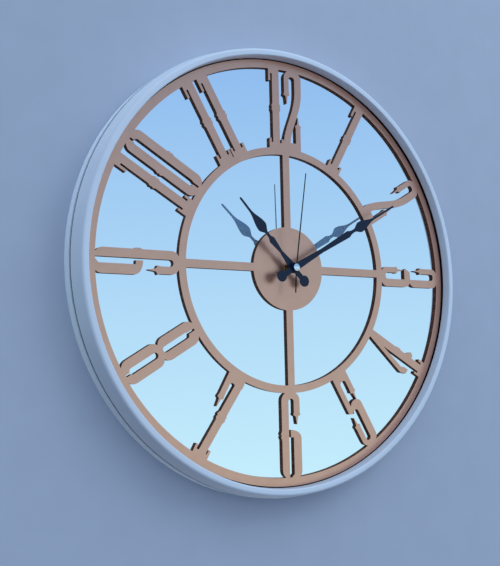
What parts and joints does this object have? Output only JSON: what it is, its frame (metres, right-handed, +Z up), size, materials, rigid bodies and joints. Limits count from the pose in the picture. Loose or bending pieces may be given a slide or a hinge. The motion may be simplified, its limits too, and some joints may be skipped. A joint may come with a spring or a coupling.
{
  "type": "mirror wall clock",
  "caption": "Round battery wall clock: a white moulded frame round a mirror, a cut-out copper dial with numerals, spade hands, a sweep second hand and a keyhole hanger behind.",
  "frame": {"origin": "centre of the hanger's round nail hole, on the wall plane at the back of the clock", "axes": "+Z up, +X to the right of a viewer in front, +Y into the wall; the dial faces -Y"},
  "size_m": [0.4999, 0.0508, 0.5],
  "materials": {
    "white_abs": "moulded, satin",
    "steel": "zinc plated",
    "mirror": "silvered glass",
    "copper_board": "laser-cut fibreboard faced with satin copper foil",
    "hardboard": "pressed hardboard",
    "black_abs": "moulded, fine grain",
    "brass": "turned",
    "rubber": "matt",
    "acetal": "moulded, satin",
    "ferrite": "sintered",
    "winding": "enamelled copper wire",
    "circuit_green": "solder mask",
    "plated_can": "plated",
    "battery_jacket": "plain printed jacket",
    "black_enamel": "stove enamel, satin",
    "polished_cap": "polished"
  },
  "bodies": {
    "clock_body": {"front_frame": "white_abs", "rear_ring": "white_abs", "frame_screws": "steel", "hanger_plate": "steel", "hanger_screws": "steel", "mirror": "mirror", "dial_plate": "copper_board", "edge_strip": "rubber", "backing_board": "hardboard", "movement_case": "black_abs", "movement_cover": "black_abs", "threaded_bush": "brass", "gasket": "rubber", "washer": "brass", "nut": "brass", "train_plate": "acetal", "stator": "steel", "coil": "winding", "circuit_board": "circuit_green", "quartz_crystal": "plated_can", "battery": "battery_jacket", "positive_contact": "steel", "negative_contact": "steel"},
    "second": {"second_hand": "black_enamel", "second_cap": "polished_cap", "seconds_wheel": "acetal"},
    "third": {"third_wheel": "acetal"},
    "centre": {"centre_wheel": "brass"},
    "intermediate": {"intermediate_wheel": "acetal"},
    "rotor_group": {"rotor": "ferrite"},
    "minute": {"minute_hand": "black_enamel", "cannon_pinion": "brass"},
    "motion": {"motion_wheel": "acetal"},
    "hour": {"hour_hand": "black_enamel", "hour_wheel": "brass"},
    "knob": {"setting_knob": "black_abs"}
  },
  "joints": [
    {"name": "second_turn", "type": "hinge", "parent": "clock_body", "child": "second", "pos_m": [0, -0.0376, -0.2357], "axis": [0, 1, 0], "continuous": true},
    {"name": "third_turn", "type": "hinge", "parent": "clock_body", "child": "third", "pos_m": [-0.00944, -0.0062, -0.23025], "axis": [0, 1, 0], "continuous": true},
    {"name": "centre_turn", "type": "hinge", "parent": "clock_body", "child": "centre", "pos_m": [0, -0.0093, -0.2357], "axis": [0, 1, 0], "continuous": true},
    {"name": "intermediate_turn", "type": "hinge", "parent": "clock_body", "child": "intermediate", "pos_m": [0.00188, -0.003, -0.22506], "axis": [0, 1, 0], "continuous": true},
    {"name": "rotor_turn", "type": "hinge", "parent": "clock_body", "child": "rotor_group", "pos_m": [0.00032, -0.003, -0.21624], "axis": [0, 1, 0], "continuous": true},
    {"name": "minute_turn", "type": "hinge", "parent": "clock_body", "child": "minute", "pos_m": [0, -0.0349, -0.2357], "axis": [0, 1, 0], "continuous": true},
    {"name": "motion_turn", "type": "hinge", "parent": "clock_body", "child": "motion", "pos_m": [0.01022, -0.0109, -0.2298], "axis": [0, 1, 0], "continuous": true},
    {"name": "hour_turn", "type": "hinge", "parent": "clock_body", "child": "hour", "pos_m": [0, -0.0319, -0.2357], "axis": [0, 1, 0], "continuous": true},
    {"name": "knob_turn", "type": "hinge", "parent": "clock_body", "child": "knob", "pos_m": [0.01327, -0.0005, -0.2184], "axis": [0, 1, 0], "continuous": true}
  ],
  "couplings": [
    {"joint": "third_turn", "follows": "second_turn", "ratio": -0.13333},
    {"joint": "centre_turn", "follows": "second_turn", "ratio": 0.016667},
    {"joint": "intermediate_turn", "follows": "second_turn", "ratio": -5},
    {"joint": "rotor_turn", "follows": "second_turn", "ratio": 30},
    {"joint": "motion_turn", "follows": "minute_turn", "ratio": -0.33333},
    {"joint": "hour_turn", "follows": "minute_turn", "ratio": 0.083333},
    {"joint": "knob_turn", "follows": "minute_turn", "ratio": 1}
  ]
}
